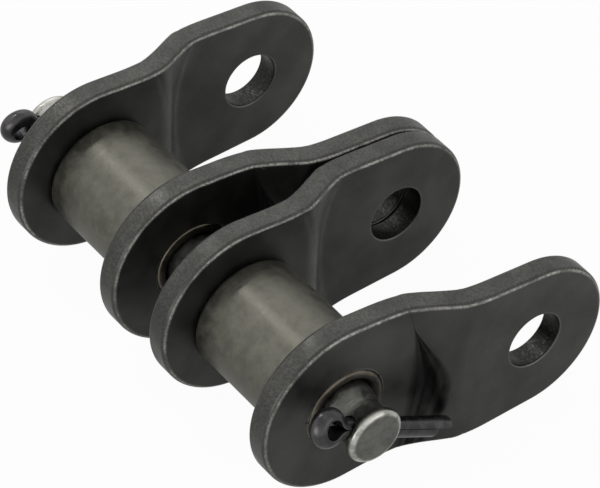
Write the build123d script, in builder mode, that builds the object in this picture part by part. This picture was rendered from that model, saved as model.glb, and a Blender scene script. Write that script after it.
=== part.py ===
"""Cranked (offset) connecting link for two-strand roller chain, with its pin and cotters.

Each strand is a pair of cranked plates joined by a pressed bush that carries a roller.
The long connecting pin is parked through both bushes and held by a cotter at each end.
X runs from the bush axis to the pin holes, Y along the pin, Z up. Millimetres.
"""

import os
from math import acos, cos, degrees, radians, sin

from build123d import *

# ---- Chain sizes ----
pitch = 38.1  # bush axis to pin-hole axis
roller_space = 25.22  # between the plates at the bush end
fork_space = 35.5  # between the plates at the fork end
strand_clearance = 0.34  # between the two strands at the fork end

# ---- Plates ----
plate_thickness = 4.8
bush_end_radius = 17.5
fork_end_radius = 15.3
rim_rounding = 0.9
pin_hole_clearance = 0.1
pin_hole_rounding = 0.4
neighbour_clearance = 0.5  # fork flat beyond the next link's plate end

# ---- Crank, seen on the plate's centre line and bowed towards the rims ----
crank_slope = 0.72  # run of the slope on the centre line for each unit of offset
crease_lean = 1.0  # outer creases sit this much nearer the bush than the inner ones
bush_side_bow = 3.8  # how far the two creases nearest the bush swing back at the block's edge
fork_side_bow = 5.5  # how far the two creases nearest the pin hole swing out there
block_margin = 1.0  # spare stock around the outline while the crank is cut
valley_rounding = 3.0
crest_rounding = 6.0

# ---- Bushes and rollers ----
bush_diameter = 15.9
bush_proud = 0.3  # beyond each plate
bush_end_rounding = 0.6
bush_mouth_chamfer = 0.9
roller_diameter = 22.23
roller_bore_clearance = 0.08
roller_side_clearance = 0.3
roller_rounding = 0.9
roller_mouth_chamfer = 0.5

# ---- Connecting pin ----
pin_diameter = 11.1
pin_bore_clearance = 0.05
pin_shift = 1.5  # parked off centre, towards the rear
cotter_plate_gap = 0.38  # cotter to outer plate when the pin joins two links
pin_end_margin = 3.2  # cotter hole centre to pin end
pin_end_rounding = 0.9
neck_depth = 0.85  # turned waist around the cotter hole
neck_end_length = 1.8  # from the cotter hole centre towards the pin end
neck_body_length = 5.4  # from the cotter hole centre towards the middle

# ---- Cotters ----
cotter_diameter = 3.7  # both half-round legs together
cotter_hole_clearance = 0.2
leg_gap = 0.1
eye_inner_radius = 1.85
eye_neck_radius = 2.6
eye_stand_off = 0.55  # start of the eye beyond the pin surface
short_leg_length = 17.1  # from the pin axis
long_leg_length = 20.6
cotter_angle = -28.0  # legs below the X axis, about the pin
front_cotter_roll = -20.0  # about its own legs
rear_cotter_roll = 14.0

# ---- Derived ----
crank_offset = (fork_space - roller_space) / 2
crank_run = crank_offset * crank_slope
plate_depth = plate_thickness + crank_offset
transverse_pitch = fork_space + 2 * plate_thickness + strand_clearance
strand_y = transverse_pitch / 2
pin_radius = pin_diameter / 2
pin_hole_radius = pin_radius + pin_hole_clearance
bush_radius = bush_diameter / 2
bush_length = roller_space + 2 * (plate_thickness + bush_proud)
roller_length = roller_space - 2 * roller_side_clearance
fork_outer_y = strand_y + fork_space / 2 + plate_thickness
cotter_y = fork_outer_y + cotter_plate_gap + cotter_diameter / 2
pin_half_length = cotter_y + pin_end_margin

block_left = -bush_end_radius - block_margin
block_right = pitch + fork_end_radius + block_margin
block_half_height = max(bush_end_radius, fork_end_radius) + block_margin

inner_valley = pitch - bush_end_radius - neighbour_clearance
inner_crest = inner_valley - crank_run
outer_crest = inner_valley - crease_lean
outer_valley = inner_crest - crease_lean


def crease_region(plane, crease_x, bow, far_x):
    """Sketch the area between a bowed crease and the block end at far_x."""
    edge_x = crease_x + bow
    with BuildSketch(plane) as region:
        with BuildLine():
            ThreePointArc((edge_x, -block_half_height), (crease_x, 0), (edge_x, block_half_height))
            Polyline(
                (edge_x, block_half_height),
                (far_x, block_half_height),
                (far_x, -block_half_height),
                (edge_x, -block_half_height),
            )
        make_face()
    return region.sketch


def cranked_plate(strand_centre, side):
    """One plate of a strand; side is +1 or -1 and points out of the strand along Y."""
    inner_y = strand_centre + side * roller_space / 2
    face = Plane(origin=(0, inner_y, 0), x_dir=(1, 0, 0), z_dir=(0, side, 0))
    with BuildPart() as plate:
        # A block as deep as the whole crank
        with BuildSketch(face):
            with Locations(((block_left + block_right) / 2, 0)):
                Rectangle(block_right - block_left, 2 * block_half_height)
        extrude(amount=plate_depth)

        # Remove what lies outside the bush end, then what lies inside the fork end
        valley = crease_region(face.offset(plate_thickness), outer_valley, -bush_side_bow, block_left)
        crest = crease_region(face.offset(plate_depth), outer_crest, fork_side_bow, block_left)
        loft(sections=[valley, crest], mode=Mode.SUBTRACT)
        crest = crease_region(face, inner_crest, -bush_side_bow, block_right)
        valley = crease_region(face.offset(crank_offset), inner_valley, fork_side_bow, block_right)
        loft(sections=[crest, valley], mode=Mode.SUBTRACT)

        # Soft crests and tighter valleys
        creases = plate.edges().filter_by(GeomType.CIRCLE).sort_by(Axis.X)
        fillet(creases[1:3], crest_rounding)
        fillet(plate.edges().filter_by(GeomType.CIRCLE), valley_rounding)

        # Straight-sided outline between the two round ends, with tumbled rims
        with BuildSketch(face):
            Circle(bush_end_radius)
            with Locations((pitch, 0)):
                Circle(fork_end_radius)
            make_hull()
        extrude(amount=plate_depth, mode=Mode.INTERSECT)
        walls = plate.faces().filter_by(lambda wall: abs(wall.normal_at(0.5, 0.5).Y) < 0.01)
        rims = walls.edges().filter_by(lambda edge: abs(edge.tangent_at(0.5).Y) < 0.95)
        fillet(rims, rim_rounding)

        # Press hole for the bush and the open pin hole
        with BuildSketch(face):
            Circle(bush_radius)
        extrude(amount=plate_depth, mode=Mode.SUBTRACT)
        with BuildSketch(face):
            with Locations((pitch, 0)):
                Circle(pin_hole_radius)
        extrude(amount=plate_depth, mode=Mode.SUBTRACT)
        circles = plate.edges().filter_by(GeomType.CIRCLE)
        fillet(
            circles.filter_by(lambda circle: abs(circle.radius - pin_hole_radius) < 0.001),
            pin_hole_rounding,
        )
    return plate


def tube(centre_y, length, outer_radius, inner_radius, outer_rounding, mouth_chamfer):
    """A plain tube on the Y axis with rounded outer ends and chamfered mouths."""
    with BuildPart() as sleeve:
        with BuildSketch(Plane.XZ.offset(-centre_y)):
            Circle(outer_radius)
            Circle(inner_radius, mode=Mode.SUBTRACT)
        extrude(amount=length / 2, both=True)
        rings = sleeve.edges().filter_by(GeomType.CIRCLE).sort_by(SortBy.RADIUS)
        chamfer(rings[:2], mouth_chamfer)
        rings = sleeve.edges().filter_by(GeomType.CIRCLE).group_by(SortBy.RADIUS)[-1]
        fillet(rings, outer_rounding)
    return sleeve


def bush(strand_centre):
    """The bush that is pressed into a strand's two plates."""
    mouth_radius = pin_radius + pin_bore_clearance
    return tube(
        strand_centre, bush_length, bush_radius, mouth_radius, bush_end_rounding, bush_mouth_chamfer
    )


def roller(strand_centre):
    """The roller that turns on a strand's bush."""
    bore_radius = bush_radius + roller_bore_clearance
    return tube(
        strand_centre,
        roller_length,
        roller_diameter / 2,
        bore_radius,
        roller_rounding,
        roller_mouth_chamfer,
    )


def across_pin(y):
    """Plane square to the pin's cotter holes, on the pin axis at y."""
    leg_direction = (cos(radians(cotter_angle)), 0, sin(radians(cotter_angle)))
    return Plane(origin=(0, y, 0), x_dir=(0, 1, 0), z_dir=leg_direction)


def pin():
    """The connecting pin, waisted around each of its two cotter holes."""
    neck_radius = pin_radius - neck_depth
    with BuildPart() as rod:
        with BuildSketch(Plane(origin=(0, pin_shift, 0))):
            with BuildLine():
                for end in (1, -1):
                    neck_end = end * (cotter_y + neck_end_length)
                    neck_start = end * (cotter_y - neck_body_length)
                    Polyline(
                        (0, 0),
                        (0, end * pin_half_length),
                        (pin_radius, end * pin_half_length),
                        (pin_radius, neck_end),
                    )
                    Spline(
                        (pin_radius, neck_end),
                        (neck_radius, end * cotter_y),
                        (pin_radius, neck_start),
                        tangents=((-1, -end), (0.2, -end)),
                    )
                Line((pin_radius, cotter_y - neck_body_length), (pin_radius, neck_body_length - cotter_y))
            make_face()
        revolve(axis=Axis.Y)
        end_rims = rod.faces().filter_by(Axis.Y).edges()
        fillet(end_rims, pin_end_rounding)
        for end in (1, -1):
            with BuildSketch(across_pin(pin_shift + end * cotter_y)):
                Circle(cotter_diameter / 2 + cotter_hole_clearance)
            extrude(amount=pin_diameter, both=True, mode=Mode.SUBTRACT)
    return rod


def cotter(y, roll):
    """A split pin of half-round wire: long upper leg, round eye and short lower leg."""
    half_gap = leg_gap / 2
    wire_radius = cotter_diameter / 2
    eye_start = -pin_radius - eye_stand_off
    flare = degrees(acos((half_gap + eye_neck_radius) / (eye_neck_radius + eye_inner_radius)))
    leg_direction = across_pin(y).z_dir
    rolled = Vector(0, -1, 0).rotate(Axis((0, 0, 0), leg_direction), roll)
    legs = Plane(origin=(0, y, 0), x_dir=leg_direction, z_dir=rolled)
    with BuildPart() as wire:
        with BuildLine(legs) as path:
            upper = Line((long_leg_length, half_gap), (eye_start, half_gap))
            opening = JernArc(upper @ 1, upper % 1, eye_neck_radius, -flare)
            eye = JernArc(opening @ 1, opening % 1, eye_inner_radius, 180 + 2 * flare)
            closing = JernArc(eye @ 1, eye % 1, eye_neck_radius, -flare)
            Line(closing @ 1, (short_leg_length, -half_gap))
        with BuildSketch(Plane(origin=path.line @ 0, x_dir=-legs.z_dir, z_dir=path.line % 0)):
            with BuildLine():
                CenterArc((0, 0), wire_radius, 180, 180)
                Line((-wire_radius, 0), (wire_radius, 0))
            make_face()
        sweep(path=path.line)
    return wire


pieces = {
    "rear_outer_plate": cranked_plate(strand_y, 1),
    "rear_middle_plate": cranked_plate(strand_y, -1),
    "front_middle_plate": cranked_plate(-strand_y, 1),
    "front_outer_plate": cranked_plate(-strand_y, -1),
    "rear_bush": bush(strand_y),
    "front_bush": bush(-strand_y),
    "rear_roller": roller(strand_y),
    "front_roller": roller(-strand_y),
    "connecting_pin": pin(),
    "front_cotter": cotter(pin_shift - cotter_y, front_cotter_roll),
    "rear_cotter": cotter(pin_shift + cotter_y, rear_cotter_roll),
}

os.makedirs("parts", exist_ok=True)
for node, piece in pieces.items():
    piece.part.label = node
    export_step(piece.part, f"parts/{node}.step")
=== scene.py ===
"""Studio scene of a cranked connecting link for two-strand roller chain.

The classes follow the link's own parts: cranked plates, bushes, rollers, the connecting
pin and its two split cotters. X runs from the bush axis to the pin holes, Y along the
pin and Z up. The link's sizes are in millimetres and become metres where a mesh is
finished. The studio's sizes are in metres.
"""

import logging
import math
from dataclasses import dataclass
from enum import Enum
from functools import partial, reduce
from typing import ClassVar, Sequence

import bmesh
import bpy
from bmesh.types import BMesh
from bpy.types import Material, NodeSocket, Object
from mathutils import Matrix, Vector


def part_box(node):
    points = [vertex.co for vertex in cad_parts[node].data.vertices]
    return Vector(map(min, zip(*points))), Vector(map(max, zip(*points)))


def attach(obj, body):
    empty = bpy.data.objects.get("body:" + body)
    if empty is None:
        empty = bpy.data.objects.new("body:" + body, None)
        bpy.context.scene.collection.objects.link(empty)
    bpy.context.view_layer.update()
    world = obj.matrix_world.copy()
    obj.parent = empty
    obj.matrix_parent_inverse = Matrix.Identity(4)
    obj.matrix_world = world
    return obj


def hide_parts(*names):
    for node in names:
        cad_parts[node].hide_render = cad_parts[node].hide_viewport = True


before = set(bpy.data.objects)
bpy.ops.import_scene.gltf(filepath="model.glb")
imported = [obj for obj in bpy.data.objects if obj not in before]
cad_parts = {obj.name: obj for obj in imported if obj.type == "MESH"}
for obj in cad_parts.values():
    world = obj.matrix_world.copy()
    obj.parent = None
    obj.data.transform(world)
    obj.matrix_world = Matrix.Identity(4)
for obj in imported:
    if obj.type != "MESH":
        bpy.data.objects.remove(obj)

LOG = logging.getLogger("offset_link")

MM = 0.001
MERGE_MM = 0.0005
PIN_AXIS = Vector((0.0, 1.0, 0.0))
SMOOTH_ANGLE = math.radians(32)
Colour = tuple[float, float, float]
Range = tuple[float, float]


class Slot(Enum):
    """Names for the finishes of the link's parts."""

    PLATE = "plate_steel"
    BUSH = "bush_steel"
    ROLLER = "roller_steel"
    PIN = "pin_steel"
    COTTER = "cotter_steel"


class Side(Enum):
    """The strand that a part belongs to, by the sign of its Y."""

    REAR = 1
    FRONT = -1


class Shader:
    """Adds and wires the nodes of one procedural material."""

    def __init__(self, name: str) -> None:
        """Start a material with one surface shader.

        Args:
            name: the material's name.
        """
        self.material: Material = bpy.data.materials.new(name)
        self.material.use_nodes = True
        self.tree = self.material.node_tree
        self.surface = self.tree.nodes["Principled BSDF"]
        self.place = self.tree.nodes.new("ShaderNodeTexCoord").outputs["Object"]

    def wire(self, value: NodeSocket | float | Sequence[float], socket: NodeSocket) -> None:
        """Give a socket a link or a plain value.

        Args:
            value: an output socket, a number or a tuple of numbers.
            socket: the input that takes it.
        """
        if isinstance(value, NodeSocket):
            self.tree.links.new(value, socket)
        else:
            socket.default_value = value

    def stretched(self, factors: Sequence[float]) -> NodeSocket:
        """Return object coordinates scaled by one factor an axis.

        Args:
            factors: how dense the pattern is along X, Y and Z.

        Returns:
            The scaled coordinate.
        """
        node = self.tree.nodes.new("ShaderNodeMapping")
        node.inputs["Scale"].default_value = factors
        self.wire(self.place, node.inputs["Vector"])
        return node.outputs["Vector"]

    def noise(
        self,
        grain_mm: float,
        detail: float = 4.0,
        roughness: float = 0.55,
        place: NodeSocket | None = None,
    ) -> NodeSocket:
        """Return a noise value from 0 to 1.

        Args:
            grain_mm: size of the largest mottles.
            detail: number of finer layers.
            roughness: strength of the finer layers.
            place: coordinates to read, or None for plain object coordinates.

        Returns:
            The noise value.
        """
        node = self.tree.nodes.new("ShaderNodeTexNoise")
        node.inputs["Scale"].default_value = 1 / (grain_mm * MM)
        node.inputs["Detail"].default_value = detail
        node.inputs["Roughness"].default_value = roughness
        self.wire(place or self.place, node.inputs["Vector"])
        return node.outputs["Fac"]

    def span(
        self, value: NodeSocket, readings: Range, results: Range = (0.0, 1.0)
    ) -> NodeSocket:
        """Return a value carried smoothly from one range to another.

        Args:
            value: what is read.
            readings: the two readings that the results stand for.
            results: result at the first reading, and at the second one.

        Returns:
            The carried value.
        """
        node = self.tree.nodes.new("ShaderNodeMapRange")
        node.interpolation_type = "SMOOTHSTEP"
        names = ("From Min", "From Max", "To Min", "To Max")
        for name, number in zip(names, (*readings, *results)):
            node.inputs[name].default_value = number
        self.wire(value, node.inputs["Value"])
        return node.outputs["Result"]

    def maths(
        self, operation: str, first: NodeSocket | float, second: NodeSocket | float = 0.0
    ) -> NodeSocket:
        """Return the result of one maths node.

        Args:
            operation: the node's operation.
            first: first operand.
            second: second operand, where the operation has one.

        Returns:
            The result.
        """
        node = self.tree.nodes.new("ShaderNodeMath")
        node.operation = operation
        self.wire(first, node.inputs[0])
        self.wire(second, node.inputs[1])
        return node.outputs[0]

    def product(self, *factors: NodeSocket | float) -> NodeSocket:
        """Return the product of two or more values.

        Args:
            factors: the values.

        Returns:
            Their product.
        """
        return reduce(partial(self.maths, "MULTIPLY"), factors)

    def blend(
        self, factor: NodeSocket, under: NodeSocket | Colour, over: NodeSocket | Colour
    ) -> NodeSocket:
        """Return a mix of two colours.

        Args:
            factor: share of the second colour.
            under: first colour.
            over: second colour.

        Returns:
            The mixed colour.
        """
        node = self.tree.nodes.new("ShaderNodeMix")
        node.data_type = "RGBA"
        self.wire(factor, node.inputs[0])
        for socket, colour in ((node.inputs[6], under), (node.inputs[7], over)):
            self.wire(colour if isinstance(colour, NodeSocket) else (*colour, 1.0), socket)
        return node.outputs[2]

    def reading(self, name: str) -> NodeSocket:
        """Return a value that the mesh stores.

        Args:
            name: the attribute's name.

        Returns:
            The value.
        """
        node = self.tree.nodes.new("ShaderNodeAttribute")
        node.attribute_name = name
        return node.outputs["Fac"]

    def pin_axis_readings(self) -> tuple[NodeSocket, NodeSocket]:
        """Return the distance from the pin axis and the place along it, in metres."""
        split = self.tree.nodes.new("ShaderNodeSeparateXYZ")
        self.wire(self.place, split.inputs[0])
        across = self.maths(
            "SQRT",
            self.maths(
                "ADD",
                self.maths("POWER", split.outputs[0], 2.0),
                self.maths("POWER", split.outputs[2], 2.0),
            ),
        )
        return across, split.outputs[1]

    def relief(self, height: NodeSocket, depth_mm: float) -> None:
        """Raise the surface by a height map.

        Args:
            height: height from 0 to 1.
            depth_mm: depth that 1 stands for.
        """
        node = self.tree.nodes.new("ShaderNodeBump")
        node.inputs["Distance"].default_value = depth_mm * MM
        self.wire(height, node.inputs["Height"])
        self.wire(node.outputs["Normal"], self.surface.inputs["Normal"])

    def finish(
        self,
        colour: NodeSocket | Sequence[float],
        roughness: NodeSocket | float,
        metallic: float,
    ) -> Material:
        """Set the surface's colour, roughness and metal share.

        Args:
            colour: base colour.
            roughness: roughness.
            metallic: share of metal.

        Returns:
            The finished material.
        """
        self.wire(colour, self.surface.inputs["Base Color"])
        self.wire(roughness, self.surface.inputs["Roughness"])
        self.wire(metallic, self.surface.inputs["Metallic"])
        return self.material


@dataclass(frozen=True)
class BlackenedPlate:
    """Oil-blackened sheared plate, worn bright along its rounded edges, with a painted
    highlight along those edges and painted shade in the crank's outer valley.

    Readings of a wall or a rim are shares of the edge rounding. Readings of a hole are
    millimetres from its wall, and readings of the painted valley shade are shares of its width.
    """

    dark: Colour = (0.043, 0.043, 0.041)
    pale: Colour = (0.066, 0.066, 0.063)
    rim_low: Colour = (0.040, 0.040, 0.037)
    rim: Colour = (0.082, 0.081, 0.074)
    # Wear colour of edges and hole mouths, also a painted highlight along the rounded edges.
    worn_and_sheen: Colour = (0.330, 0.325, 0.298)
    # Painted shade on the hole walls.
    bore: Colour = (0.016, 0.016, 0.015)
    # Painted shade in the crank's outer valley.
    valley_shade: Colour = (0.004, 0.004, 0.004)
    metallic: float = 0.9
    smooth_and_rough: Range = (0.34, 0.46)
    rounding_mm: float = 0.9
    clouds_mm: float = 11.0
    grain_mm: float = 0.42
    scuffs_mm: float = 4.5
    shear_mm: float = 0.34
    shear_stretch: tuple[float, float, float] = (1.3, 0.5, 1.3)
    drag_mm: float = 5.0
    # Mottle size and stretch of the painted valley shade.
    valley_mottle_mm: float = 3.2
    valley_mottle_stretch: tuple[float, float, float] = (1.6, 1.0, 0.5)
    wall: Range = (0.35, 0.10)
    rim_outer: Range = (0.15, 0.40)
    rim_inner: Range = (0.95, 0.50)
    bore_wall: Range = (0.22, 0.05)
    mouth_outer: Range = (0.45, 0.20)
    mouth_inner: Range = (0.02, 0.12)
    mouth_wear: float = 0.22
    # Edges and banding of the painted valley shade.
    shade_start: Range = (-0.55, 0.25)
    shade_end: Range = (1.18, 0.82)
    shade_band_rate: float = 12.6
    relief_mm: float = 0.03

    def material(self) -> Material:
        """Return the plate's material."""
        shader = Shader("blackened_plate")
        inset = shader.reading(CrankedPlate.INSET)
        bore = shader.reading(CrankedPlate.BORE)
        grain = shader.noise(self.grain_mm, detail=3.0, roughness=0.6)
        scuffs = shader.noise(self.scuffs_mm, detail=5.0, roughness=0.6)
        shear = shader.noise(
            self.shear_mm,
            detail=3.0,
            roughness=0.6,
            place=shader.stretched(self.shear_stretch),
        )
        on_wall = shader.span(inset, self.of_rounding(self.wall))
        colour = shader.blend(
            on_wall, self.face_colour(shader, grain), self.wall_colour(shader, shear)
        )
        # Hole walls take a near-black painted shade, with paler streaks.
        bore_shade_colour = shader.blend(shader.span(shear, (0.45, 0.80)), self.bore, self.pale)
        colour = shader.blend(shader.span(bore, self.bore_wall), colour, bore_shade_colour)
        # Bright band on the edge rounding: wear plus a painted highlight where light catches
        # the rounded edge.
        worn_rim_and_highlight = shader.product(
            shader.span(inset, self.of_rounding(self.rim_outer)),
            shader.span(inset, self.of_rounding(self.rim_inner)),
            shader.span(grain, (0.32, 0.62), (0.30, 1.0)),
            shader.span(scuffs, (0.36, 0.64), (0.25, 1.0)),
        )
        worn_mouth = shader.product(
            shader.span(bore, self.mouth_outer),
            shader.span(bore, self.mouth_inner, (0.0, self.mouth_wear)),
        )
        colour = shader.blend(worn_rim_and_highlight, colour, self.worn_and_sheen)
        colour = shader.blend(worn_mouth, colour, self.worn_and_sheen)
        height = shader.maths(
            "ADD", shader.product(grain, 0.8), shader.product(shear, on_wall, 0.5)
        )
        shader.relief(height, self.relief_mm)
        roughness = shader.span(scuffs, (0.35, 0.66), self.smooth_and_rough)
        return shader.finish(colour, roughness, self.metallic)

    def of_rounding(self, shares: Range) -> Range:
        """Return shares of the edge rounding as millimetres.

        Args:
            shares: two shares.

        Returns:
            Their lengths.
        """
        return shares[0] * self.rounding_mm, shares[1] * self.rounding_mm

    def face_colour(self, shader: Shader, grain: NodeSocket) -> NodeSocket:
        """Return the colour of the flat faces, with painted shade in the crank's outer valley.

        Args:
            shader: the plate's shader.
            grain: the finest noise.

        Returns:
            The colour.
        """
        clouds = shader.noise(self.clouds_mm, detail=4.0, roughness=0.5)
        face = shader.blend(shader.span(clouds, (0.30, 0.70)), self.dark, self.pale)
        face = shader.blend(shader.span(grain, (0.52, 0.80), (0.0, 0.30)), face, self.rim)
        # Painted shade darkens the crank's outer valley.
        return shader.blend(self.valley_shade_share(shader), face, self.valley_shade)

    def wall_colour(self, shader: Shader, shear: NodeSocket) -> NodeSocket:
        """Return the colour of the sheared wall.

        Args:
            shader: the plate's shader.
            shear: noise stretched across the plate.

        Returns:
            The colour.
        """
        drag = shader.noise(self.drag_mm, detail=4.0, roughness=0.6)
        share = shader.product(
            shader.span(shear, (0.30, 0.72)), shader.span(drag, (0.30, 0.62), (0.45, 1.0))
        )
        return shader.blend(share, self.rim_low, self.rim)

    def valley_shade_share(self, shader: Shader) -> NodeSocket:
        """Return how dark the painted shade stands in the crank's outer valley.

        Args:
            shader: the plate's shader.

        Returns:
            A share from 0 to 1, with a crisp edge up the slope and painted shade lines beside
            it.
        """
        past = shader.reading(CrankedPlate.CREASE)
        lines = shader.maths("SINE", shader.product(past, self.shade_band_rate))
        valley_mottle = shader.noise(
            self.valley_mottle_mm, detail=4.0, place=shader.stretched(self.valley_mottle_stretch)
        )
        return shader.product(
            shader.span(past, self.shade_start),
            shader.span(past, self.shade_end),
            shader.span(lines, (0.0, 1.0), (1.0, 0.60)),
            shader.span(valley_mottle, (0.30, 0.60), (0.62, 1.0)),
        )


@dataclass(frozen=True)
class TurnedSteel:
    """Turned and hardened steel with mottles, fine turning lines and worn rims, whose pale
    colour also serves as a painted highlight.

    Each entry of ends_mm is a rim's place along the pin and how far its pale colour reaches:
    wear, and on the pin's rear end a painted highlight.
    """

    name: str
    dark: Colour
    pale: Colour
    worn_and_sheen: Colour
    outer_mm: float
    ends_mm: tuple[Range, ...]
    metallic: float = 0.95
    smooth_and_rough: Range = (0.30, 0.46)
    mottle_mm: float = 3.2
    grain_mm: float = 0.5
    line_mm: float = 2.4
    line_length: float = 0.25
    turning: float = 3.0
    full_wear_and_sheen: float = 0.35
    wear_and_sheen_depths_mm: Range = (1.1, 0.5)
    relief_mm: float = 0.022

    def material(self) -> Material:
        """Return the steel's material."""
        shader = Shader(self.name)
        across, along = shader.pin_axis_readings()
        mottle = shader.noise(self.mottle_mm, detail=6.0, roughness=0.66)
        grain = shader.noise(self.grain_mm, detail=3.0)
        turned = shader.noise(
            self.line_mm,
            detail=5.0,
            roughness=0.7,
            place=shader.stretched((self.line_length, self.turning, self.line_length)),
        )
        colour = shader.blend(shader.span(mottle, (0.34, 0.66)), self.dark, self.pale)
        colour = shader.blend(shader.span(turned, (0.56, 0.78), (0.0, 0.35)), colour, self.worn_and_sheen)
        deep, shallow = (self.outer_mm - depth for depth in self.wear_and_sheen_depths_mm)
        # Pale rims: wear, and over the pin's long rear reach a painted highlight.
        for end, reach in self.ends_mm:
            near = shader.maths("ABSOLUTE", shader.maths("SUBTRACT", along, end * MM))
            share = shader.product(
                shader.span(near, (reach * MM, reach * self.full_wear_and_sheen * MM)),
                shader.span(across, (deep * MM, shallow * MM)),
                shader.span(mottle, (0.3, 0.6), (0.25, 0.8)),
            )
            colour = shader.blend(share, colour, self.worn_and_sheen)
        shader.relief(shader.maths("ADD", shader.product(turned, 1.2), grain), self.relief_mm)
        roughness = shader.span(mottle, (0.32, 0.68), self.smooth_and_rough)
        return shader.finish(colour, roughness, self.metallic)


@dataclass(frozen=True)
class DrawnWire:
    """Dark drawn wire with faint mottles."""

    dark: Colour = (0.046, 0.044, 0.045)
    pale: Colour = (0.080, 0.077, 0.078)
    metallic: float = 0.9
    smooth_and_rough: Range = (0.24, 0.36)
    mottle_mm: float = 2.2
    grain_mm: float = 0.45
    relief_mm: float = 0.012

    def material(self) -> Material:
        """Return the wire's material."""
        shader = Shader("drawn_wire")
        mottle = shader.noise(self.mottle_mm, detail=3.0, roughness=0.55)
        colour = shader.blend(shader.span(mottle, (0.35, 0.68)), self.dark, self.pale)
        shader.relief(shader.noise(self.grain_mm, detail=3.0), self.relief_mm)
        roughness = shader.span(mottle, (0.3, 0.7), self.smooth_and_rough)
        return shader.finish(colour, roughness, self.metallic)


def settled(
    bm: BMesh, name: str, body: str, material: Material, node: str
) -> Object:
    """Turn a finished bmesh in millimetres into a piece of the link.

    Args:
        bm: the shape, in millimetres and in place. It is freed.
        name: the piece's name.
        body: the body that it moves with.
        material: its material.
        node: the solid that it stands for.

    Returns:
        The piece.
    """
    bm.transform(Matrix.Scale(MM, 4))
    mesh = bpy.data.meshes.new(name)
    bm.to_mesh(mesh)
    bm.free()
    mesh.shade_smooth()
    mesh.set_sharp_from_angle(angle=SMOOTH_ANGLE)
    mesh.materials.append(material)
    piece = bpy.data.objects.new(name, mesh)
    bpy.context.scene.collection.objects.link(piece)
    piece.modifiers.new("face_weights", "WEIGHTED_NORMAL").keep_sharp = True
    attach(piece, body)
    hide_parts(node)
    LOG.info("%s: %d faces, on %s", name, len(mesh.polygons), body)
    return piece


def merged_solid(node: str) -> BMesh:
    """Return a solid's mesh with its loose triangles joined.

    Args:
        node: the solid's name.

    Returns:
        The joined mesh, in millimetres.
    """
    bm = bmesh.new()
    bm.from_mesh(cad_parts[node].data)
    bm.transform(Matrix.Scale(1 / MM, 4))
    bmesh.ops.remove_doubles(bm, verts=bm.verts, dist=MERGE_MM)
    return bm


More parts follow.
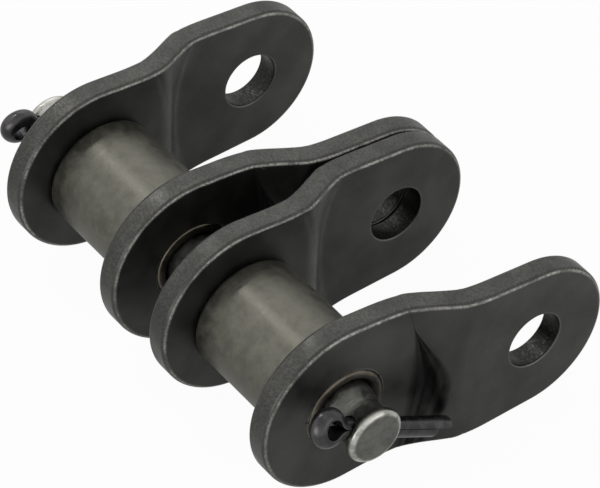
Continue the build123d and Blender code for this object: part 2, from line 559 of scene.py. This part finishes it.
@dataclass
class CrankedPlate:
    """One side plate of a strand, with a cut grid that carries its edge distances."""

    INSET: ClassVar[str] = "inset"
    BORE: ClassVar[str] = "bore"
    CREASE: ClassVar[str] = "crease"
    OFF_CREASE: ClassVar[float] = 50.0

    name: str
    body: str
    inner_y: float
    pitch: float = 38.1
    bush_lobe: float = 17.5
    fork_lobe: float = 15.3
    bush_hole: float = 7.95
    pin_hole: float = 5.65
    thickness: float = 4.8
    crank_offset: float = 5.14
    outer_valley: float = 15.4
    outer_crest: float = 19.1
    bush_side_bow: float = 3.8
    fork_side_bow: float = 5.5
    bow_height: float = 18.5
    easing: float = 0.8
    # Height and width of the painted shade in the crank's outer valley.
    shade_top: float = 13.0
    shade_height: float = 15.0
    shade_width: float = 4.2
    least_shade_width: float = 0.05
    outer_face_share: float = 0.9
    middle_lag: float = 0.5
    grid: float = 1.2

    def depth_from_rim(self, x: float, z: float) -> float:
        """Return how far a point lies inside the plate's outline, in millimetres.

        Args:
            x: place along the link.
            z: height.

        Returns:
            The distance, never below zero.
        """
        slant = (self.bush_lobe - self.fork_lobe) / self.pitch
        rise = math.sqrt(1 - slant * slant)
        height = abs(z)
        along = x * rise - height * slant
        if along < 0:
            depth = self.bush_lobe - math.hypot(x, height)
        elif along > self.pitch * rise:
            depth = self.fork_lobe - math.hypot(x - self.pitch, height)
        else:
            depth = self.bush_lobe - (x * slant + height * rise)
        return max(depth, 0.0)

    def past_crease(self, x: float, z: float, depth: float) -> float:
        """Return how far a point lies past the crank's outer valley.

        Args:
            x: place along the link.
            z: height.
            depth: distance outwards from the plate's inner face.

        Returns:
            Signed share of the painted valley shade's width there, or OFF_CREASE away from the
            outer face.
        """
        if depth < self.thickness * self.outer_face_share:
            return self.OFF_CREASE
        valley = self.outer_valley - self.bush_side_bow * self.height_share(z)
        share = min(max((self.shade_top - z) / self.shade_height, 0.0), 1.0)
        width = self.shade_width * share * share * (3 - 2 * share)
        return (x - valley) / max(width, self.least_shade_width)

    def height_share(self, z: float) -> float:
        """Return the share of the creases' bow that is reached at a height.

        Args:
            z: height.

        Returns:
            The share, 0 on the centre line.
        """
        return (z / self.bow_height) ** 2

    def softening(self, x: float, z: float) -> float:
        """Return how far the crank's two bends are eased outwards near the rims.

        Args:
            x: place along the link.
            z: height.

        Returns:
            Shift away from the plate's inner face, in millimetres.
        """
        share = self.height_share(z)
        first = self.outer_valley + self.middle_lag - self.bush_side_bow * share
        second = self.outer_crest + self.middle_lag + self.fork_side_bow * share
        reach = (second - first) / 2
        steepness = self.crank_offset / (second - first)
        shift = 0.0
        for bend, sense in ((first, 1.0), (second, -1.0)):
            left = max(reach - abs(x - bend), 0.0)
            shift += sense * steepness * left * left / (4 * reach)
        return shift * share * self.easing

    def cut_into_grid(self, bm: BMesh) -> None:
        """Cut the plate's faces into a grid, so that they can carry readings.

        Args:
            bm: the plate's mesh.
        """
        spans = (
            (0, -self.bush_lobe, self.pitch + self.fork_lobe),
            (2, -self.bush_lobe, self.bush_lobe),
        )
        for axis, low, high in spans:
            for step in range(1, round((high - low) / self.grid)):
                place, across = Vector((0.0, 0.0, 0.0)), Vector((0.0, 0.0, 0.0))
                place[axis], across[axis] = low + step * self.grid, 1.0
                bmesh.ops.bisect_plane(
                    bm,
                    geom=[*bm.verts, *bm.edges, *bm.faces],
                    dist=0.001,
                    plane_co=place,
                    plane_no=across,
                )

    def build(self, material: Material) -> Object:
        """Build the plate.

        Args:
            material: its blackened finish.

        Returns:
            The plate.
        """
        bm = merged_solid(self.name)
        self.cut_into_grid(bm)
        inset = bm.verts.layers.float.new(self.INSET)
        bore = bm.verts.layers.float.new(self.BORE)
        crease = bm.verts.layers.float.new(self.CREASE)
        low_y, high_y = (end.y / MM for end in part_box(self.name))
        outward = 1.0 if self.inner_y - low_y < high_y - self.inner_y else -1.0
        for vert in bm.verts:
            x, y, z = vert.co
            vert[crease] = self.past_crease(x, z, (y - self.inner_y) * outward)
            vert.co.y += outward * self.softening(x, z)
            vert[inset] = self.depth_from_rim(x, z)
            to_bush = math.hypot(x, z) - self.bush_hole
            to_pin = math.hypot(x - self.pitch, z) - self.pin_hole
            vert[bore] = max(min(to_bush, to_pin), 0.0)
        return settled(
            bm, f"{self.name}_look", self.body, material, self.name
        )


@dataclass(frozen=True)
class TubeSizes:
    """Sizes of a turned tube: length, radii, rounded outer edges and chamfered mouths."""

    length: float
    outer_radius: float
    bore_radius: float
    rounding: float
    chamfer: float


@dataclass
class Tube:
    """A turned tube on the pin axis, centred in its strand."""

    name: str
    body: str
    slot: Slot
    middle: float
    sizes: TubeSizes
    turns: int = 144
    rounding_segments: int = 6

    def build(self, material: Material) -> Object:
        """Build the tube by spinning the section of its wall.

        Args:
            material: its turned finish.

        Returns:
            The tube.
        """
        sizes = self.sizes
        bm = bmesh.new()
        inner, outer = [], []
        for y in (self.middle - sizes.length / 2, self.middle + sizes.length / 2):
            inner.append(bm.verts.new((sizes.bore_radius, y, 0.0)))
            outer.append(bm.verts.new((sizes.outer_radius, y, 0.0)))
        bm.faces.new((inner[0], outer[0], outer[1], inner[1]))
        for corners, size, segments in (
            (outer, sizes.rounding, self.rounding_segments),
            (inner, sizes.chamfer, 1),
        ):
            bmesh.ops.bevel(
                bm,
                geom=corners,
                offset=size,
                offset_type="OFFSET",
                segments=segments,
                profile=0.5,
                affect="VERTICES",
                material=-1,
            )
        bmesh.ops.delete(bm, geom=bm.faces[:], context="FACES_ONLY")
        bmesh.ops.spin(
            bm,
            geom=[*bm.verts, *bm.edges],
            cent=(0.0, 0.0, 0.0),
            axis=PIN_AXIS,
            angle=math.tau,
            steps=self.turns,
            use_merge=True,
        )
        bmesh.ops.remove_doubles(bm, verts=bm.verts, dist=MERGE_MM)
        bmesh.ops.recalc_face_normals(bm, faces=bm.faces)
        return settled(bm, f"{self.name}_look", self.body, material, self.name)


@dataclass
class ConnectingPin:
    """The long pin, waisted around its two cotter holes, with its solid's own faces."""

    name: str = "connecting_pin"
    body: str = "pin_body"

    def build(self, material: Material) -> Object:
        """Build the pin.

        Args:
            material: its turned finish.

        Returns:
            The pin.
        """
        bm = merged_solid(self.name)
        return settled(bm, f"{self.name}_look", self.body, material, self.name)


@dataclass
class Cotter:
    """A split pin of half-round wire, folded round its eye."""

    name: str
    side: Side
    body: str = "pin_body"
    pin_shift: float = 1.5
    from_middle: float = 47.5
    wire_radius: float = 1.85
    half_gap: float = 0.05
    eye_start: float = -6.1
    neck_radius: float = 2.6
    eye_radius: float = 1.85
    long_leg: float = 20.6
    short_leg: float = 17.1
    angle: float = -28.0
    twist: float = -20.0
    tip_bevel: float = 0.3
    section_facets: int = 40
    degrees_a_step: float = 6.0
    least_steps: int = 6

    def half_disc(self, bm: BMesh) -> list:
        """Draw the wire's half-round section at the tip of the long leg.

        Args:
            bm: the mesh that takes it.

        Returns:
            The section's vertices, edges and face.
        """
        turned = Matrix.Rotation(math.pi / 2, 4, "Y")
        placed = Matrix.Translation((self.long_leg, 0.0, self.half_gap))
        bmesh.ops.create_circle(
            bm,
            cap_ends=True,
            radius=self.wire_radius,
            segments=self.section_facets,
            matrix=placed @ turned,
        )
        bmesh.ops.bisect_plane(
            bm,
            geom=[*bm.verts, *bm.edges, *bm.faces],
            dist=0.0001,
            plane_co=(0.0, 0.0, self.half_gap),
            plane_no=(0.0, 0.0, 1.0),
            clear_inner=True,
        )
        return [*bm.verts, *bm.edges, *bm.faces]

    @staticmethod
    def drawn(bm: BMesh, section: list, reach: float) -> list:
        """Draw the section out along the leg.

        Args:
            bm: the mesh.
            section: the wire's last section.
            reach: signed length along X.

        Returns:
            The new last section.
        """
        grown = bmesh.ops.extrude_face_region(bm, geom=section)["geom"]
        moved = [part for part in grown if isinstance(part, bmesh.types.BMVert)]
        bmesh.ops.translate(bm, verts=moved, vec=(reach, 0.0, 0.0))
        return grown

    def bent(self, bm: BMesh, section: list, centre: Range, angle: float) -> list:
        """Bend the wire round a centre.

        Args:
            bm: the mesh.
            section: the wire's last section.
            centre: X and Z of the bend.
            angle: turn about the pin axis, in radians.

        Returns:
            The new last section.
        """
        steps = round(math.degrees(abs(angle)) / self.degrees_a_step)
        return bmesh.ops.spin(
            bm,
            geom=section,
            cent=(centre[0], 0.0, centre[1]),
            axis=PIN_AXIS if angle > 0 else -PIN_AXIS,
            angle=abs(angle),
            steps=max(self.least_steps, steps),
        )["geom_last"]

    def build(self, material: Material) -> Object:
        """Build the cotter: long leg, neck, eye, neck and short leg.

        Args:
            material: its wire finish.

        Returns:
            The cotter.
        """
        bm = bmesh.new()
        neck_height = self.half_gap + self.neck_radius
        flare = math.acos(neck_height / (self.neck_radius + self.eye_radius))
        section = self.half_disc(bm)
        section = self.drawn(bm, section, self.eye_start - self.long_leg)
        section = self.bent(bm, section, (self.eye_start, neck_height), flare)
        eye_x = self.eye_start - math.sin(flare) * (self.neck_radius + self.eye_radius)
        section = self.bent(bm, section, (eye_x, 0.0), -(math.pi + 2 * flare))
        section = self.bent(bm, section, (self.eye_start, -neck_height), flare)
        self.drawn(bm, section, self.short_leg - self.eye_start)
        bmesh.ops.remove_doubles(bm, verts=bm.verts, dist=MERGE_MM)
        bmesh.ops.recalc_face_normals(bm, faces=bm.faces)
        sides_of_a_quad = 4
        tips = [face for face in bm.faces if len(face.verts) > sides_of_a_quad]
        bmesh.ops.bevel(
            bm,
            geom=[edge for face in tips for edge in face.edges],
            offset=self.tip_bevel,
            offset_type="OFFSET",
            segments=2,
            profile=0.5,
            affect="EDGES",
            material=-1,
        )
        along = self.pin_shift + self.side.value * self.from_middle
        bm.transform(Matrix.Rotation(math.radians(self.twist), 4, "X"))
        bm.transform(Matrix.Rotation(-math.radians(self.angle), 4, "Y"))
        bm.transform(Matrix.Translation((0.0, along, 0.0)))
        return settled(bm, f"{self.name}_look", self.body, material, self.name)


@dataclass
class OffsetLink:
    """The whole two-strand link with its parked pin."""

    strand_middle: float = 22.72
    roller_space: float = 25.22
    rear_twist: float = 14.0
    bush_sizes: TubeSizes = TubeSizes(
        length=35.42, outer_radius=7.95, bore_radius=5.6, rounding=0.6, chamfer=0.9
    )
    roller_sizes: TubeSizes = TubeSizes(
        length=24.62, outer_radius=11.115, bore_radius=8.03, rounding=0.9, chamfer=0.5
    )
    plate_finish: BlackenedPlate = BlackenedPlate()
    roller_finish: TurnedSteel = TurnedSteel(
        name="hardened_roller",
        dark=(0.092, 0.090, 0.075),
        pale=(0.128, 0.125, 0.103),
        worn_and_sheen=(0.185, 0.178, 0.150),
        outer_mm=11.115,
        smooth_and_rough=(0.37, 0.47),
        mottle_mm=2.2,
        turning=1.6,
        ends_mm=((-35.03, 1.0), (-10.41, 1.0), (10.41, 1.0), (35.03, 1.0)),
    )
    bush_finish: TurnedSteel = TurnedSteel(
        name="hardened_bush",
        dark=(0.030, 0.028, 0.024),
        pale=(0.052, 0.046, 0.039),
        worn_and_sheen=(0.170, 0.148, 0.115),
        outer_mm=7.95,
        ends_mm=((-40.43, 0.8), (-5.01, 0.8), (5.01, 0.8), (40.43, 0.8)),
    )
    pin_finish: TurnedSteel = TurnedSteel(
        name="ground_pin",
        dark=(0.105, 0.107, 0.095),
        pale=(0.165, 0.165, 0.147),
        # Pale colour of the pin's worn rims, also a painted highlight on its rear end.
        worn_and_sheen=(0.620, 0.615, 0.570),
        outer_mm=5.55,
        smooth_and_rough=(0.26, 0.42),
        mottle_mm=2.0,
        # The rear end's long reach paints a highlight where the key light falls on it.
        ends_mm=((-49.2, 0.9), (52.2, 5.0)),
    )
    wire_finish: DrawnWire = DrawnWire()

    def build(self) -> list[Object]:
        """Build every part of the link in the order it is put together.

        Returns:
            The parts.
        """
        return [*self.plates(), *self.tubes(), *self.pin_and_cotters()]

    def plates(self) -> list[Object]:
        """Build the four side plates.

        Returns:
            The plates, from the rear to the front.
        """
        blackened = self.plate_finish.material()
        outer_plate = self.strand_middle + self.roller_space / 2
        middle_plate = self.strand_middle - self.roller_space / 2
        return [
            CrankedPlate(name, body, inner_y).build(blackened)
            for name, body, inner_y in (
                ("rear_outer_plate", "rear_strand", outer_plate),
                ("rear_middle_plate", "rear_strand", middle_plate),
                ("front_middle_plate", "front_strand", -middle_plate),
                ("front_outer_plate", "front_strand", -outer_plate),
            )
        ]

    def tubes(self) -> list[Object]:
        """Build the bush and the roller of each strand.

        Returns:
            The bushes and rollers.
        """
        bush_steel = self.bush_finish.material()
        roller_steel = self.roller_finish.material()
        parts = []
        for side, strand in ((Side.REAR, "rear"), (Side.FRONT, "front")):
            middle = side.value * self.strand_middle
            bush = Tube(
                f"{strand}_bush", f"{strand}_strand", Slot.BUSH, middle, self.bush_sizes
            )
            roller = Tube(
                f"{strand}_roller",
                f"{strand}_roller_body",
                Slot.ROLLER,
                middle,
                self.roller_sizes,
            )
            parts += [bush.build(bush_steel), roller.build(roller_steel)]
        return parts

    def pin_and_cotters(self) -> list[Object]:
        """Build the parked pin and its two cotters.

        Returns:
            The pin, the front cotter and the rear one.
        """
        pin = ConnectingPin().build(self.pin_finish.material())
        wire = self.wire_finish.material()
        return [
            pin,
            Cotter("front_cotter", Side.FRONT).build(wire),
            Cotter("rear_cotter", Side.REAR, twist=self.rear_twist).build(wire),
        ]


@dataclass(frozen=True)
class Lamp:
    """A soft square lamp: its name, place and width in metres, and its power in watts."""

    name: str
    place: tuple[float, float, float]
    size: float
    power: float

    def hang(self, aim: Vector) -> None:
        """Hang the lamp so that it faces a point.

        Args:
            aim: the point.
        """
        data = bpy.data.lights.new(self.name, "AREA")
        data.size, data.energy = self.size, self.power
        lamp = bpy.data.objects.new(self.name, data)
        facing = (aim - Vector(self.place)).to_track_quat("-Z", "Y")
        lamp.matrix_world = Matrix.Translation(self.place) @ facing.to_matrix().to_4x4()
        bpy.context.scene.collection.objects.link(lamp)


@dataclass
class Studio:
    """Camera, floor, surroundings and lamps."""

    lens: float = 238.777
    sensor: float = 36.0
    clip: Range = (0.05, 20.0)
    shift: Range = (-0.1013, 0.0033)
    place: tuple[float, float, float] = (-0.316898, -0.418859, 0.480526)
    right: tuple[float, float, float] = (0.796370, -0.602210, 0.056012)
    up: tuple[float, float, float] = (0.370105, 0.558481, 0.742376)
    forward: tuple[float, float, float] = (0.478348, 0.570476, -0.667638)
    floor_size: float = 3.0
    floor_cells: int = 8
    floor_gap: float = 0.00002
    floor_colour: Colour = (0.80, 0.80, 0.80)
    floor_roughness: float = 0.9
    floor_to_camera: float = 0.96
    floor_to_metal: float = 0.35
    world_light: float = 0.50
    aim: tuple[float, float, float] = (0.012, 0.0, 0.0)
    lamps: tuple[Lamp, ...] = (
        Lamp("key_lamp", (-0.45, 0.40, 0.38), 0.55, 0.42),
        Lamp("side_lamp", (-0.55, -0.10, 0.06), 0.35, 1.0),
        Lamp("streak_lamp", (-0.11, 0.47, 0.67), 0.07, 0.80),
        Lamp("fill_lamp", (0.30, -0.60, 0.12), 0.40, 0.5),
        Lamp("back_lamp", (0.30, 0.46, 0.50), 0.35, 0.45),
    )

    def camera(self) -> None:
        """Set up the camera."""
        data = bpy.data.cameras.new("studio_camera")
        data.lens, data.sensor_width = self.lens, self.sensor
        data.sensor_fit = "HORIZONTAL"
        data.shift_x, data.shift_y = self.shift
        data.clip_start, data.clip_end = self.clip
        camera = bpy.data.objects.new("studio_camera", data)
        turned = Matrix((self.right, self.up, [-part for part in self.forward])).transposed()
        camera.matrix_world = Matrix.Translation(self.place) @ turned.to_4x4()
        bpy.context.scene.collection.objects.link(camera)
        bpy.context.scene.camera = camera

    def floor(self, plate: type[CrankedPlate]) -> Object:
        """Lay a pale floor under the two lobes that the link rests on.

        Args:
            plate: the plates' class, for its lobes.

        Returns:
            The floor.
        """
        slant = (plate.bush_lobe - plate.fork_lobe) / plate.pitch
        rise = math.sqrt(1 - slant * slant)
        height = -plate.bush_lobe / rise * MM - self.floor_gap
        cells = self.floor_cells
        bm = bmesh.new()
        bmesh.ops.create_grid(bm, x_segments=cells, y_segments=cells, size=self.floor_size)
        bm.transform(Matrix.Rotation(-math.asin(slant), 4, "Y"))
        bm.transform(Matrix.Translation((0.0, 0.0, height)))
        mesh = bpy.data.meshes.new("studio_floor")
        bm.to_mesh(mesh)
        bm.free()
        floor = bpy.data.objects.new("studio_floor", mesh)
        bpy.context.scene.collection.objects.link(floor)
        mesh.materials.append(self.pale_surface())
        return floor

    def pale_surface(self) -> Material:
        """Return a matt floor that reads white to the camera and keeps a soft shadow."""
        shader = Shader("pale_floor")
        shader.finish((*self.floor_colour, 1.0), self.floor_roughness, 0.0)
        nodes, links = shader.tree.nodes, shader.tree.links
        glow = nodes.new("ShaderNodeEmission")
        glow.inputs["Strength"].default_value = 1.0
        rays = nodes.new("ShaderNodeLightPath")
        mirrored = shader.maths(
            "MAXIMUM", rays.outputs["Is Glossy Ray"], rays.outputs["Is Transmission Ray"]
        )
        share = shader.maths(
            "MAXIMUM",
            shader.product(rays.outputs["Is Camera Ray"], self.floor_to_camera),
            shader.product(mirrored, self.floor_to_metal),
        )
        mixed = nodes.new("ShaderNodeMixShader")
        links.new(share, mixed.inputs[0])
        links.new(shader.surface.outputs[0], mixed.inputs[1])
        links.new(glow.outputs[0], mixed.inputs[2])
        links.new(mixed.outputs[0], nodes["Material Output"].inputs["Surface"])
        return shader.material

    def surroundings(self) -> None:
        """Light the studio evenly and show it white to the camera and to metal."""
        world = bpy.data.worlds.new("studio_world")
        world.use_nodes = True
        bpy.context.scene.world = world
        nodes, links = world.node_tree.nodes, world.node_tree.links
        backdrop = nodes["Background"]
        rays = nodes.new("ShaderNodeLightPath")
        seen: NodeSocket = rays.outputs["Is Camera Ray"]
        for name in ("Is Glossy Ray", "Is Transmission Ray"):
            either = nodes.new("ShaderNodeMath")
            either.operation = "MAXIMUM"
            links.new(seen, either.inputs[0])
            links.new(rays.outputs[name], either.inputs[1])
            seen = either.outputs[0]
        strength = nodes.new("ShaderNodeMapRange")
        strength.inputs["To Min"].default_value = self.world_light
        links.new(seen, strength.inputs["Value"])
        links.new(strength.outputs["Result"], backdrop.inputs["Strength"])
        backdrop.inputs["Color"].default_value = (1.0, 1.0, 1.0, 1.0)

    def light(self) -> None:
        """Hang the key, side, streak, fill and back lamps."""
        for lamp in self.lamps:
            lamp.hang(Vector(self.aim))


def main() -> None:
    """Build the studio and the link."""
    logging.basicConfig(level=logging.INFO, format="%(message)s")
    studio = Studio()
    studio.camera()
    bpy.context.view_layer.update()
    bpy.context.scene.view_settings.view_transform = "Standard"
    parts = OffsetLink().build()
    studio.floor(CrankedPlate)
    studio.surroundings()
    studio.light()
    LOG.info("%d parts built", len(parts))


if __name__ == "__main__":
    main()
